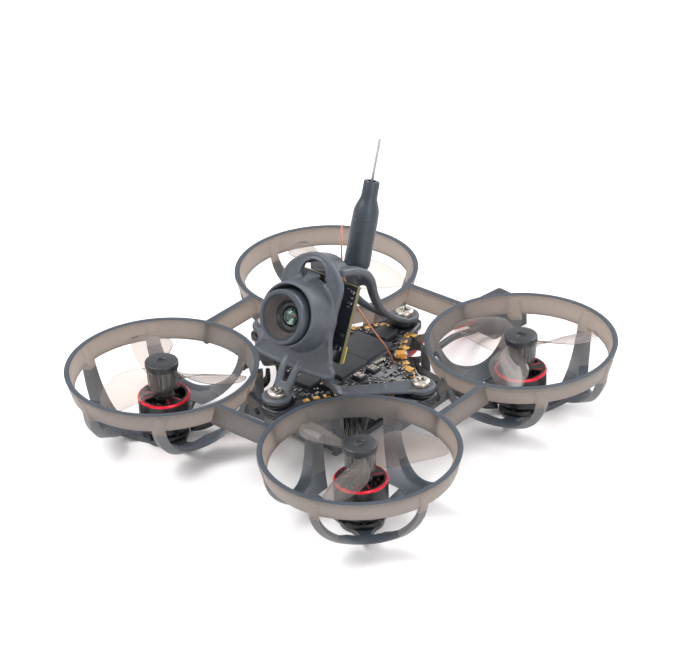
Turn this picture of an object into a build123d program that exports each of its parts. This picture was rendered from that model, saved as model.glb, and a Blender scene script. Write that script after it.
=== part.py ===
from build123d import *
import os
from math import atan, cos, degrees, pi, radians, sin, sqrt

# Palm-sized ducted quadcopter, 65 mm wheelbase, millimetres, +Z up, nose towards -Y.
# The origin is on the ground, under the middle of the flight board.

# ---------------------------------------------------------------- driving dimensions
wheelbase = 65.0                      # motor to motor, across the diagonal
duct_offset = wheelbase / 2 / sqrt(2)  # duct centre from the middle, along X and Y
deck = 14.9                           # height of the duct rims above the ground

duct_radius = 17.55                   # outside of the rim
duct_foot_radius = 16.55              # outside of the ring's lower edge
duct_height = 3.6
duct_wall = 0.7
leg_band = 1.5                        # width of the curved legs' band
leg_thickness = 1.1
leg_spread = 9.3                      # half the width of a U-shaped leg
spoke_width = 2.1
seat_top = 1.0                        # top of the motor plate
seat_apothem = 3.5                    # the motor plate is a rounded triangle
motor_screw_circle = 3.3

bell_radius = 4.72
bell_wall = 0.35
bell_bottom = 2.9
bell_top = 9.0
shaft_radius = 0.5
bearing_radius = 1.5
bearing_gap = 0.03                    # running clearance on the shaft
magnet_count = 12
tooth_count = 9

hub_radius = 3.05
hub_top = deck + 0.98
hub_height = 5.3
blade_count = 3
blade_pitch = 18.0                    # advance of the blade's surface in one turn
blade_tip = 15.1

board_top = deck - 2.0
board_thickness = 0.9
board_hole = 18.03                    # distance of each board screw from the middle
board_cut_radius = 20.5               # the board is cut back in an arc beside each duct
grommet_radius = 2.5
post_top = deck - 3.9
screw_radius = 0.65

camera_tilt = 24.0
camera_centre = (0, -5.75, deck + 10.5)  # middle of the camera's board
camera_side = 14.0

sleeve_tilt = 18.7                    # the video antenna leans back
sleeve_foot = (0, 4.7, deck + 15.8)

ducts = {
    "front_left": (duct_offset, -duct_offset, 315, 1),
    "rear_left": (duct_offset, duct_offset, 45, -1),
    "rear_right": (-duct_offset, duct_offset, 135, 1),
    "front_right": (-duct_offset, -duct_offset, 225, -1),
}
# resting angle of the first blade of each propeller
blade_rest = {"front_left": 50, "rear_left": 58, "rear_right": 30, "front_right": 30}

parts = {}


# ---------------------------------------------------------------- helpers
def disc(radius, low, high, x=0, y=0):
    """An upright cylinder between two heights."""
    return Pos(x, y, (low + high) / 2) * Cylinder(radius, high - low)


def block(x0, x1, y0, y1, z0, z1):
    """A box between two corners."""
    return Pos((x0 + x1) / 2, (y0 + y1) / 2, (z0 + z1) / 2) * Box(x1 - x0, y1 - y0, z1 - z0)


def ring(outer, inner, low, high):
    return disc(outer, low, high) - disc(inner, low - 1, high + 1)


def turned(points):
    """A solid of revolution about Z from (radius, height) points."""
    outline = Polyline(*[(r, 0, z) for r, z in points], close=True)
    return revolve(make_face(outline), Axis.Z)


def upright(points, thickness):
    """A plate standing on the XZ plane, centred on Y, from (x, z) points."""
    outline = Polyline(*[(x, 0, z) for x, z in points], close=True)
    return extrude(make_face(outline), thickness / 2, both=True)


def around(count, shape, start=0):
    """Copies of a shape at equal angles about Z."""
    return [Rot(0, 0, start + 360 / count * k) * shape for k in range(count)]


def rod(a, b, radius):
    """A round bar from point to point."""
    a, b = Vector(*a), Vector(*b)
    return Plane(origin=(a + b) / 2, z_dir=b - a) * Cylinder(radius, (b - a).length)


def tube_along(points, radius):
    """A round bar along straight runs joined by arcs as large as the runs allow."""
    pts = [Vector(*p) for p in points]
    radii = []
    for before, here, after in zip(pts, pts[1:], pts[2:]):
        turn = radians((here - before).get_angle(after - here))
        short = min((here - before).length, (after - here).length)
        radii.append(0.45 * short / (sin(turn / 2) / cos(turn / 2)))
    route = FilletPolyline(*pts, radius=radii)
    section = Plane(origin=pts[0], z_dir=pts[1] - pts[0]) * Circle(radius)
    solid = sweep(section, path=route)
    share = solid.volume / (pi * radius**2 * route.length)
    print("tube length", round(route.length, 2), "bend radii", [round(r, 1) for r in radii],
          "volume share", round(share, 4))
    return solid


def write(name, shape):
    """Keep one sub-part: a solid, or a list of separate solids."""
    pieces = shape if isinstance(shape, list) else [shape]
    solids = [s for piece in pieces for s in piece.solids()]
    parts[name] = Compound(children=solids) if len(solids) > 1 else solids[0]


def at_duct(name, shape, outward=True):
    """Place a shape modelled about a motor axis; +X turns to the duct's outward side."""
    x, y, angle, _ = ducts[name]
    turn = angle if outward else 0
    place = Pos(x, y, 0) * Rot(0, 0, turn)
    if isinstance(shape, list):
        return [place * s for s in shape]
    return place * shape


# ---------------------------------------------------------------- frame: ducts and legs
def make_duct():
    """Ring, three U-shaped legs, spokes and motor plate, as one moulding."""
    foot = deck - duct_height
    slope = (duct_radius - duct_foot_radius) / duct_height
    wall = turned([
        (duct_radius, deck), (duct_foot_radius, foot), (duct_foot_radius - duct_wall, foot),
        (duct_radius - duct_wall - slope * 0.5, deck - 0.5), (duct_radius - 1.0, deck),
    ])
    # barrel-shaped shell that the legs are cut from
    proud = 0.25
    out_top = (duct_radius + proud - slope * 0.7, deck - 0.7)
    out_foot = (duct_foot_radius + proud, foot)
    in_foot = (out_foot[0] - leg_thickness, foot)
    in_top = (out_top[0] - leg_thickness, deck - 0.7)
    low_out, mid_out = (9.3, deck - 12.9), (14.9, deck - 8.7)
    low_in, mid_in = (8.6, deck - 12.0), (13.8, deck - 8.1)
    profile = Wire([
        Line(*flat(out_top, out_foot)),
        ThreePointArc(*flat(out_foot, mid_out, low_out)),
        Line(*flat(low_out, low_in)),
        ThreePointArc(*flat(low_in, mid_in, in_foot)),
        Line(*flat(in_foot, in_top)),
        Line(*flat(in_top, out_top)),
    ])
    barrel = revolve(Face(profile), Axis.Z)
    # the U that one leg follows, drawn on a plane facing outwards
    centre = deck - 2.5
    face = Plane(origin=(8, 0, 0), x_dir=(0, 1, 0), z_dir=(1, 0, 0))
    outer = Pos(0, centre) * Circle(leg_spread + leg_band / 2)
    inner = Pos(0, centre) * Circle(leg_spread - leg_band / 2)
    arms = Pos(0, centre + 2) * Rectangle(2 * leg_spread + leg_band, 4)
    gap = Pos(0, centre + 2) * Rectangle(2 * leg_spread - leg_band, 4)
    lower = Pos(0, centre - 10) * Rectangle(40, 20)
    band = ((outer - inner) & lower) + (arms - gap)
    leg = extrude(face * band, 10) & barrel
    spoke = upright([(10.8, deck - 11.6), (10.3, deck - 12.6), (5.6, 0.15), (4.0, 0), (4.0, seat_top),
                     (5.4, seat_top), (9.6, deck - 11.8)], spoke_width)
    plate = disc(3.9, 0, seat_top)
    corner = 2 * seat_apothem
    points = [(corner * cos(radians(a)), corner * sin(radians(a))) for a in (0, 120, 240)]
    plate += extrude(Polygon(*points, align=None), seat_top) & disc(5.8, 0, seat_top)
    solid = wall + plate
    for piece in around(3, leg) + around(3, spoke):
        solid += piece
    solid -= disc(1.3, -1, 2)
    for k in range(3):
        hole = Rot(0, 0, 120 * k) * Pos(motor_screw_circle, 0, 0)
        solid -= hole * Cylinder(0.7, 4)
        solid -= hole * (Pos(0, 0, 0.25) * Cylinder(1.2, 0.7))
    return solid


def flat(*points):
    """(radius, height) pairs as points on the XZ plane."""
    return [(r, 0, z) for r, z in points]


duct = make_duct()
for name in ducts:
    write("duct_" + name, at_duct(name, duct))


# ---------------------------------------------------------------- frame: centre
def make_frame_centre():
    """Brace plates between the ducts, board posts with their webs, and the battery cage."""
    brace = block(-7.2, 7.2, -27.5, -26.6, deck - 4.2, deck)
    brace += block(-7.2, 7.2, -27.65, -26.45, deck - 0.5, deck)
    web = block(-7.2, 7.2, -board_hole - 0.45, -board_hole + 0.45, deck - 6.6, deck - 4.2)
    web += upright([(-7.4, deck - 1.6), (-7.4, deck - 6.6), (-2.2, deck - 6.6), (-2.2, deck - 4.2)],
                   0.9).moved(Pos(0, -board_hole, 0))
    web += upright([(7.4, deck - 1.6), (7.4, deck - 6.6), (2.2, deck - 6.6), (2.2, deck - 4.2)],
                   0.9).moved(Pos(0, -board_hole, 0))
    for x in (-4.4, 4.4):
        web -= Pos(x, -board_hole, deck - 5.0) * Rot(90, 0, 0) * Cylinder(0.7, 3)
    post = disc(2.4, deck - 6.9, post_top, 0, -board_hole)
    thread = disc(screw_radius + 0.03, deck - 6.5, post_top + 1, 0, -board_hole)
    arm = brace + (web + post - thread)
    solids = [Rot(0, 0, 90 * k) * arm for k in range(4)]
    # battery cage: four legs on the rings, two truss walls, a floor of cross bars
    leg_x, leg_y, wall_x = 9.35, 12.3, 7.2
    rail_low, rail_high = deck - 13.4, deck - 5.0
    cage = None
    for side in (-1, 1):
        wall = block(side * wall_x - 0.45, side * wall_x + 0.45, -11.5, 11.5, rail_low, rail_high)
        for y in (-7.6, 7.6):
            wall -= truss_window(side * wall_x, y, rail_low + 1.1, rail_high - 1.0, 3.1, 1)
        for y in (-3.8, 3.8):
            wall -= truss_window(side * wall_x, y, rail_low + 1.1, rail_high - 1.0, 3.1, -1)
        wall -= truss_window(side * wall_x, 0, rail_low + 1.1, rail_high - 1.0, 3.1, 1)
        cage = wall if cage is None else cage + wall
        for end in (-1, 1):
            turn = degrees(atan((leg_y - 10.6) / (leg_x - wall_x)))
            leg = Pos(side * leg_x, end * leg_y, deck - 5.8) * Rot(0, 0, side * end * 45)
            cage += leg * Box(1.6, 1.4, 9.0)
            tie = Pos(side * (leg_x + wall_x) / 2, end * (leg_y + 10.9) / 2, deck - 9.0)
            cage += tie * Rot(0, 0, side * end * turn) * Box(3.2, 0.9, 2.4)
    for y in (-9.4, 0, 9.4):
        cage += block(-wall_x, wall_x, y - 1.1, y + 1.1, rail_low, rail_low + 0.9)
    return solids + [cage]


def truss_window(x, y, low, high, half, sense):
    """A triangular window through a cage wall, point up or point down."""
    base, tip = (low, high) if sense > 0 else (high, low)
    outline = Polyline((x, y - half, base), (x, y + half, base), (x, y, tip), close=True)
    return extrude(make_face(outline), 2, both=True, dir=(1, 0, 0))


centre = []
duct_solids = [parts["duct_" + name] for name in ducts]
for solid in make_frame_centre():
    for neighbour in duct_solids:
        solid -= neighbour
    centre += [s for s in solid.solids() if s.volume > 1.0]
write("frame_centre", centre)


# ---------------------------------------------------------------- motors
def make_motor():
    """Fixed and turning pieces of one motor, about its own axis."""
    tube_top = 7.8
    base = disc(4.3, seat_top, 2.0) + disc(bearing_radius + 0.4, seat_top, tube_top)
    base -= disc(bearing_radius, 1.3, tube_top + 1)
    base -= disc(1.0, 0, 3)
    for k in range(3):
        base -= Rot(0, 0, 120 * k) * Pos(motor_screw_circle, 0, 1.5) * Cylinder(0.68, 2)
        base -= Rot(0, 0, 60 + 120 * k) * Pos(4.2, 0, 1.5) * Cylinder(1.0, 2)
    # laminated core
    low, high = 3.6, 6.6
    core = ring(bearing_radius + 1.0, bearing_radius + 0.4, low, high)
    tooth = block(bearing_radius + 0.7, 3.4, -0.22, 0.22, low, high)
    shoe = ring(3.6, 3.25, low, high) & block(2, 4, -0.85, 0.85, low, high)
    for piece in around(tooth_count, tooth + shoe):
        core += piece
    coil = block(2.62, 3.2, -0.5, 0.5, low - 0.35, high + 0.35) - block(2, 4, -0.24, 0.24, low, high)
    coils = around(tooth_count, coil)
    # bell: steel can with a spoked top and a hub
    bell = ring(bell_radius, bell_radius - bell_wall, bell_bottom, bell_top)
    bell += ring(bell_radius, 1.6, bell_top - 0.6, bell_top)
    bell += disc(1.9, 8.0, bell_top)
    sector = ring(3.95, 2.0, bell_top - 2, bell_top + 1)
    wedge = extrude(Polygon((0, 0), (6, -4.1), (6, 4.1), align=None), 12)
    for cut in around(3, sector & wedge, 60):
        bell -= cut
    bell -= disc(shaft_radius, 0, 12)
    top_edges = bell.edges().filter_by(GeomType.CIRCLE).group_by(Axis.Z)[-1]
    bell = chamfer(top_edges.group_by(SortBy.RADIUS)[-1], 0.25)
    magnet = ring(bell_radius - bell_wall - 0.02, 3.87, 3.2, 7.2)
    slice_shape = extrude(Polygon((0, 0), (6, -1.4), (6, 1.4), align=None), 12)
    magnets = around(magnet_count, magnet & slice_shape)
    shaft = disc(shaft_radius, 1.15, hub_top - 0.4)
    return base, core, coils, bell, magnets, shaft


bearing = ring(bearing_radius, shaft_radius + bearing_gap, 0, 1.0)
base, core, coils, bell, magnets, shaft = make_motor()
bearings, motor_screws = [], []
for name in ducts:
    write("motor_base_" + name, at_duct(name, base))
    write("stator_core_" + name, at_duct(name, core))
    write("motor_coils_" + name, at_duct(name, coils))
    write("motor_bell_" + name, at_duct(name, bell))
    write("motor_magnets_" + name, at_duct(name, magnets))
    write("motor_shaft_" + name, at_duct(name, shaft))
    bearings += at_duct(name, [bearing.moved(Pos(0, 0, z)) for z in (1.3, 6.8)])
    for k in range(3):
        screw = disc(1.1, 0.05, 0.58) + disc(screw_radius, 0.5, 1.95)
        screw -= block(-0.8, 0.8, -0.15, 0.15, -1, 0.3) + block(-0.15, 0.15, -0.8, 0.8, -1, 0.3)
        screw = Rot(0, 0, 120 * k) * Pos(motor_screw_circle, 0, 0) * screw
        motor_screws.append(at_duct(name, screw))
write("motor_bearings", bearings)
write("motor_screws", motor_screws)


# ---------------------------------------------------------------- propellers
def blade_section(radius, chord, thickness, camber, middle, sense):
    """A thin cambered section across the blade, on a plane facing along +X."""
    pitch = atan(blade_pitch / (2 * pi * radius))
    upper, lower = [], []
    for t in (-0.5, -0.25, 0.0, 0.25, 0.5):
        bow = camber * (1 - 4 * t * t)
        half = thickness * (0.5 if abs(t) < 0.5 else 0.3)
        upper.append((t * chord, bow + half))
        lower.append((t * chord, bow - half))
    points = []
    for along, out in upper + lower[::-1]:
        y = sense * (along * cos(pitch) + out * sin(pitch))
        z = -along * sin(pitch) + out * cos(pitch)
        points.append((radius, y, middle + z))
    return make_face(Polyline(*points, close=True))


def make_propeller(sense):
    """Three-bladed propeller; sense 1 turns counter-clockwise seen from above."""
    low = hub_top - hub_height
    hub = turned([(shaft_radius, bell_top), (1.6, bell_top), (1.6, low + 0.2), (2.45, low),
                  (hub_radius - 0.15, hub_top - 1.2), (hub_radius, hub_top - 1.0),
                  (hub_radius, hub_top - 0.2), (hub_radius - 0.2, hub_top), (shaft_radius, hub_top)])
    stations = [  # radius, chord, thickness, camber, height of the middle below the rim
        (1.9, 4.2, 0.70, 0.10, -1.9),
        (4.0, 6.0, 0.60, 0.25, -1.9),
        (6.5, 7.2, 0.50, 0.45, -2.0),
        (9.0, 7.2, 0.42, 0.50, -2.1),
        (11.5, 6.0, 0.36, 0.40, -2.1),
        (13.4, 4.4, 0.32, 0.25, -2.1),
        (14.6, 3.0, 0.30, 0.12, -2.1),
        (blade_tip, 1.8, 0.28, 0.05, -2.1),
    ]
    sections = [blade_section(r, c, t, b, deck + m, -sense) for r, c, t, b, m in stations]
    blade = loft(sections, ruled=True)
    solid = hub
    for piece in around(blade_count, blade):
        solid += piece
    return solid - disc(shaft_radius, 0, hub_top - 0.4)


for name, (_, _, _, sense) in ducts.items():
    spin = Rot(0, 0, blade_rest[name])
    write("propeller_" + name, at_duct(name, spin * make_propeller(sense), outward=False))


# ---------------------------------------------------------------- flight board
def make_board():
    low = board_top - board_thickness
    sheet = Rectangle(41.2, 41.2)
    for x, y, _, _ in ducts.values():
        sheet -= Pos(x, y) * Circle(board_cut_radius)
    sheet = fillet(sheet.vertices(), 2.0)
    for k in range(4):
        sheet -= Rot(0, 0, 90 * k) * Pos(board_hole, 0) * Circle(1.6)
    return extrude(sheet, board_thickness).moved(Pos(0, 0, low))


write("flight_board", make_board())
chips = [  # x0, x1, y0, y1, height of the packages soldered on the board
    (-4.0, 4.0, 2.2, 9.3, 0.9), (-4.0, 4.2, -5.2, 2.0, 0.9), (-1.9, 1.9, 10.3, 13.6, 0.85),
    (5.4, 7.5, -0.1, 2.0, 0.7), (5.2, 7.2, -3.6, -1.9, 0.8), (-11.0, -7.4, -2.0, 2.0, 0.8),
    (-6.9, -5.0, 4.0, 6.5, 0.7), (-2.0, 1.6, -11.2, -7.8, 0.9), (3.0, 5.0, -9.0, -6.4, 0.7),
]
write("board_chips", [block(x0, x1, y0, y1, board_top, board_top + h) for x0, x1, y0, y1, h in chips])
under = board_top - board_thickness
drivers = [  # motor driver transistors under the board
    block(x - 1.5, x + 1.5, y - 1.5, y + 1.5, under - 0.8, under)
    for x, y in ((-6, -5), (-2, -5), (2, -5), (6, -5), (-6, 5), (-2, 5), (2, 5), (6, 5),
                 (-9, 0), (-3, 0), (3, 0), (9, 0))
]
write("motor_drivers", drivers)
capacitor = block(6.0, 8.2, 6.6, 8.9, board_top, board_top + 1.2)
write("filter_capacitor", capacitor)


def make_grommet():
    low = board_top - board_thickness
    body = turned([
        (0.75, low - 1.0), (grommet_radius, low - 1.0), (grommet_radius, low), (1.55, low),
        (1.55, board_top), (grommet_radius, board_top), (grommet_radius, board_top + 0.9),
        (0.75, board_top + 0.9),
    ])
    return body.moved(Pos(board_hole, 0, 0))


def make_board_screw():
    head_low = deck - 0.1
    body = turned([
        (0, deck - 6.4), (screw_radius, deck - 6.4), (screw_radius, head_low), (1.65, head_low),
        (1.65, head_low + 0.55), (1.0, head_low + 1.0), (0, head_low + 1.0),
    ])
    slot_z = head_low + 0.55
    body -= block(-0.95, 0.95, -0.18, 0.18, slot_z, slot_z + 1)
    body -= block(-0.18, 0.18, -0.95, 0.95, slot_z, slot_z + 1)
    return body.moved(Pos(board_hole, 0, 0))


write("board_grommets", around(4, make_grommet()))
write("board_screws", around(4, make_board_screw()))


# ---------------------------------------------------------------- camera
# Pieces are modelled looking along +Z with X across and Y up the picture, then tilted.
view = Plane(origin=camera_centre, x_dir=(1, 0, 0),
             z_dir=(0, -cos(radians(camera_tilt)), sin(radians(camera_tilt))))
camera_sheet = fillet(Rectangle(camera_side, camera_side).vertices(), 0.6)
write("camera_board", view * extrude(camera_sheet, 0.4, both=True))
write("image_sensor", view * block(-2.6, 2.6, -2.3, 2.3, 0.4, 1.2))
holder = block(-4.4, 4.4, -4.4, 4.4, 0.4, 2.6) - block(-3.4, 3.4, -3.4, 3.4, 0.3, 1.6)
holder += disc(4.5, 2.6, 6.2)
holder -= disc(3.6, 1.5, 7)
write("lens_holder", view * holder)
barrel = turned([
    (2.2, 2.4), (3.55, 2.4), (3.55, 6.4), (4.55, 6.4), (4.7, 6.7), (4.7, 10.8), (4.5, 11.15),
    (4.0, 11.15), (3.75, 10.8), (2.3, 7.4), (1.5, 7.2), (1.5, 4.0), (2.2, 4.0),
])
write("lens_barrel", view * barrel)
glass = turned([(0, 6.2), (1.45, 6.2), (1.45, 7.25), (2.1, 7.5), (1.6, 8.35), (0.9, 8.75), (0, 8.9)])
write("front_lens", view * glass)
plug = block(3.2, 6.4, -6.4, -4.7, 0.4, 2.4)
write("camera_plug", view * plug)


# ---------------------------------------------------------------- canopy
def make_canopy():
    """Printed shell: lens tube, face plate with an arched window, hood and three-way legs."""
    plate_low, plate_high, hood_low = 3.6, 4.7, 0.5
    # face plate across the lens axis
    edge = arched([(7.3, 4.4), (6.9, 6.4), (5.4, 8.2), (3.9, 9.6), (2.1, 10.7), (0, 11.2)])
    outline = make_face(Polyline((7.3, -11), *edge, (-7.3, -11), close=True))
    plate = extrude(outline, plate_high - plate_low).moved(Pos(0, 0, plate_low))
    window = (Pos(0, 7.0) * Circle(2.9)) & (Pos(0, 9) * Rectangle(8, 4))
    plate -= extrude(window, 4).moved(Pos(0, 0, 2.5))
    # hood: the edge carried back to the camera's board
    hollow = arched([(6.3, 4.4), (5.9, 6.0), (4.7, 7.4), (3.3, 8.7), (1.7, 9.7), (0, 10.2)])
    arch = make_face(Polyline(*edge, *hollow[::-1], close=True))
    shell = plate + extrude(arch, plate_high - hood_low).moved(Pos(0, 0, hood_low))
    # lens tube with a flared foot and a small peak
    tube = turned([(5.2, plate_low), (6.6, plate_low), (6.6, plate_high), (6.0, 7.0), (5.8, 9.6),
                   (5.2, 9.6)])
    shell = (shell - disc(5.2, 0, 12)) + tube
    shell += extrude(Polygon((-0.9, 5.5), (0.9, 5.5), (0, 6.6), align=None), 2.6).moved(
        Pos(0, 0, plate_high - 0.1))
    shell -= block(-4.6, 4.6, -20, -6.5, 0, 6)
    solid = view * shell
    # front leg: a forked slope down to the front screw
    foot_low, foot_high = board_top + 0.9, deck - 0.1
    leg = side_plate([(-12.2, deck + 7.4), (-13.2, deck + 7.4), (-17.2, foot_high + 0.8),
                      (-17.2, foot_low), (-15.6, foot_low)], 7.4)
    leg -= side_plate([(-10, deck + 8.6), (-19, deck + 8.6), (-19, deck + 1.6), (-10, deck + 1.6)], 1.6)
    for side in (-1, 1):
        trim = Polyline((side * 1.9, -21), (side * 6, -21), (side * 6, -10), (side * 4.2, -10),
                        (side * 1.9, -16.8), close=True)
        leg -= extrude(make_face(trim), 40)
    solid += leg
    front = disc(2.7, foot_low, foot_high, 0, -board_hole)
    front += block(-2.0, 2.0, -board_hole, -15.4, foot_low, foot_high)
    solid += front
    # side straps: down from the plate's corners, then out to the side screws
    for side in (-1, 1):
        strap = side_plate([(-13.4, deck + 5.0), (-10.4, deck + 6.2), (-8.6, foot_low),
                            (-12.0, foot_low)], 1.6).moved(Pos(side * 7.5, 0, 0))
        arm = Polyline((side * 7.3, -12.0), (side * 7.3, -8.6), (side * 17.0, 2.3),
                       (side * 19.2, -2.4), (side * 8.5, -11.6), close=True)
        strap += extrude(make_face(arm), foot_high - foot_low).moved(Pos(0, 0, foot_low))
        strap += disc(2.7, foot_low, foot_high, side * board_hole, 0)
        solid += strap
    # rear A-frame: two curved arms from the hood to the rear screw, tied by a cross bar
    route = [(4.2, -3.0, 18.6), (4.4, -0.6, 18.3), (4.4, 1.6, 16.9), (4.1, 3.2, 15.0),
             (3.8, 4.2, 13.0), (3.4, 5.1, 11.0), (2.8, 6.9, 8.0), (2.4, 8.2, 6.2), (2.1, 9.8, 4.5),
             (1.7, 11.5, 3.0), (1.3, 13.6, 1.5), (1.2, 15.4, 0.4), (1.2, 17.2, -0.5)]
    for side in (-1, 1):
        solid += curved_strap([(side * x, y, deck + z) for x, y, z in route], 1.9, 1.4)
    bar = side_plate([(3.0, deck + 13.4), (4.9, deck + 13.4), (4.4, deck + 15.0), (2.4, deck + 15.0)], 8.0)
    solid += bar
    solid += disc(2.7, foot_low, foot_high, 0, board_hole)
    solid += antenna_place() * Pos(0, 0, -1.9) * Cylinder(2.3, 2.6)
    # socket for the video antenna in the cross bar
    solid -= antenna_place() * Cylinder(1.45, 60)
    for k in range(4):
        solid -= Rot(0, 0, 90 * k) * disc(screw_radius + 0.1, 0, deck + 1, board_hole, 0)
        solid -= Rot(0, 0, 90 * k) * disc(1.85, foot_high, deck + 4, board_hole, 0)
    return solid


def arched(points):
    """Points from the right edge to the middle, then their mirror image."""
    return points + [(-x, t) for x, t in points[-2::-1]]


def curved_strap(points, width, thickness):
    """A flat strap through (x, y, z) points, its width across X."""
    sections = []
    for before, here, after in zip(points[:1] + points, points, points[1:] + points[-1:]):
        along = Vector(*after) - Vector(*before)
        section = Plane(origin=here, x_dir=(1, 0, 0), z_dir=along)
        sections.append(section * Rectangle(width, thickness))
    return loft(sections, ruled=True)


def side_plate(points, width):
    """A plate from (y, z) points, centred on X."""
    outline = Polyline(*[(0, y, z) for y, z in points], close=True)
    return extrude(make_face(outline), width / 2, both=True, dir=(1, 0, 0))


def antenna_place():
    """Frame of the video antenna: origin at the sleeve's foot, +Z along its axis."""
    lean = radians(sleeve_tilt)
    return Plane(origin=sleeve_foot, x_dir=(1, 0, 0), z_dir=(0, sin(lean), cos(lean)))


canopy = make_canopy()
write("canopy", canopy)


# ---------------------------------------------------------------- antennas
place = antenna_place()
sleeve = turned([
    (0.75, -5.0), (1.3, -5.0), (1.3, -0.4), (2.0, 0), (2.35, 0.6), (2.35, 10.4), (1.9, 11.4),
    (1.45, 12.2), (1.45, 15.6), (0.75, 15.6),
])
write("antenna_sleeve", place * sleeve)
coax_end = (place * Vertex(0, 0, -5.0)).center()
coax = tube_along([(-6.5, 7.6, board_top), (-6.5, 7.6, board_top + 2.2), (-3.6, 5.2, deck + 4.6),
                   (0, 2.95, deck + 9.0), coax_end], 0.6)
whip_low = (place * Vertex(0, 0, 14.0)).center()
coax += rod(coax_end, whip_low, 0.6)
write("antenna_coax", coax)
whip_top = (place * Vertex(0, 0, 23.3)).center()
write("antenna_whip", rod(whip_low, whip_top, 0.25))
receiver = tube_along([(7.6, 5.2, board_top + 0.05), (7.2, 4.6, board_top + 3.2), (5.0, 2.6, deck + 4.8),
                       (2.4, 1.2, deck + 10.4), (0.8, -0.4, deck + 16.0), (0.3, 0.2, deck + 21.0),
                       (0.2, 0.9, deck + 25.6)], 0.22)
write("receiver_antenna", receiver)


# ---------------------------------------------------------------- motor leads
wire_radius = 0.4
leads = []
for offset in (-0.9, 0.0, 0.9):
    leads.append(tube_along([
        (-4.35, offset, 1.6), (-6.6, offset, 1.7), (-9.6, offset, 3.0), (-13.4, offset, 6.2),
        (-17.0, offset, 8.8), (-18.9, offset, deck - 4.6), (-19.0, offset, under)], wire_radius))
for name in ducts:
    write("motor_leads_" + name, at_duct(name, leads))


# ---------------------------------------------------------------- battery lead
# Each wire is soldered under the board, passes below the rear brace and ends in the plug.
plug_place = Pos(0.5, 45.8, 0) * Rot(0, 0, -8)
plug_height = 4.9
plug_body = fillet(block(-3.9, 3.9, -4.6, 4.6, 0, plug_height).edges().filter_by(Axis.Z), 0.6)
plug_body -= block(-3.0, 3.0, 1.6, 6, 0.9, 4.0)
write("battery_plug", plug_place * plug_body)
pin_place = plug_place * Pos(0, 0, plug_height / 2)
pins = [pin_place * block(x - 0.5, x + 0.5, 1.6, 4.2, -0.5, 0.5) for x in (-1.5, 1.5)]
write("battery_plug_pins", pins)
lead_radius = 0.65
lead_routes = {
    "battery_lead_red": (-1.6, [
        (2.6, 8.6, deck - 3.7), (2.3, 13.0, deck - 6.1), (1.3, 17.8, deck - 8.4),
        (-0.5, 23.0, deck - 8.7), (-1.9, 28.2, deck - 9.2), (-2.3, 33.0, deck - 10.6)]),
    "battery_lead_black": (1.6, [
        (5.2, 8.6, deck - 3.7), (5.0, 13.0, deck - 6.1), (4.5, 18.0, deck - 8.3),
        (3.6, 23.4, deck - 8.6), (2.6, 28.6, deck - 9.3), (1.6, 33.2, deck - 10.8)]),
}
for name, (x, route) in lead_routes.items():
    before = (plug_place * Vertex(x, -8.6, plug_height / 2)).center()
    face_point = (plug_place * Vertex(x, -4.6, plug_height / 2)).center()
    write(name, tube_along(route + [before, face_point], lead_radius))

os.makedirs("parts", exist_ok=True)
for name, shape in parts.items():
    export_step(shape, "parts/" + name + ".step")
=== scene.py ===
import math
import random

import bmesh
import bpy
from mathutils import Matrix, Vector


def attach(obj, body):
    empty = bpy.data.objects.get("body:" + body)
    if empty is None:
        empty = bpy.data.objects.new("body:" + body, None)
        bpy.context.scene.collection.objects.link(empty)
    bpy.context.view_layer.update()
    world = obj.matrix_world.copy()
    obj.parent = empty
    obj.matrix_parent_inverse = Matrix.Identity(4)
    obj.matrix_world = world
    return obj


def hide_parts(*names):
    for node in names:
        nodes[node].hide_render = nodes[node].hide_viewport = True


# Palm-sized ducted quadcopter. Lengths are millimetres, turned to metres by MM, but for the cords' sizes,
# the lights, the camera's clipping and the weld distance, which are metres.
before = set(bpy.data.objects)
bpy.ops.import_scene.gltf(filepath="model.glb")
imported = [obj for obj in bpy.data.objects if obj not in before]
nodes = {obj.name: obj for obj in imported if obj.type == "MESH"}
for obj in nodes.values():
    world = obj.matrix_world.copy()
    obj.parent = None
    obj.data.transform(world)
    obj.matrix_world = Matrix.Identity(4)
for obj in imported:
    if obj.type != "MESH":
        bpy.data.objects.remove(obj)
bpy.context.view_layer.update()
MM = 0.001
DECK = 14.9                             # height of the ducts' rims and of the canopy's feet
BOARD_TOP = DECK - 2.0                  # top of the flight board
WHEELBASE = 65.0                        # from motor to motor, across the centre
OFF = WHEELBASE / 2 / math.sqrt(2)
MOUNT = 18.03                           # from the centre to each screw of the flight board
MOUNTS = ((MOUNT, 0), (0, MOUNT), (-MOUNT, 0), (0, -MOUNT))
BLADE_PITCH = 18.0                      # advance of a blade's surface in one turn
WINDOW_T, WINDOW_R = 7.15, 2.95         # centre and radius of the canopy's arched window
DUCTS = {  # centre, outward angle, sense of turning, resting angle of the first blade
    "front_left": (OFF, -OFF, 315, 1, 50),
    "rear_left": (OFF, OFF, 45, -1, 58),
    "rear_right": (-OFF, OFF, 135, 1, 30),
    "front_right": (-OFF, -OFF, 225, -1, 30),
}
scene = bpy.context.scene

# ---------------------------------------------------------------- camera
right = Vector((0.7708, 0.6373, -0.0284)).normalized()
back = Vector((0.5650, -0.6610, 0.4940))
back = (back - back.dot(right) * right).normalized()
up = back.cross(right)
aim = Vector((-0.54, 2.78, 19.23)) * MM
view_distance = 475.51
focal_pixels, picture_width = 2640.07, 698
camera = bpy.data.objects.new("camera", bpy.data.cameras.new("camera"))
scene.collection.objects.link(camera)
stand = Matrix.Translation(aim + back * view_distance * MM)
camera.matrix_world = stand @ Matrix((right, up, back)).transposed().to_4x4()
camera.data.sensor_width = 36.0
camera.data.lens = focal_pixels / picture_width * 36.0
camera.data.clip_start = 0.01
camera.data.clip_end = 20.0
scene.camera = camera


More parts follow.
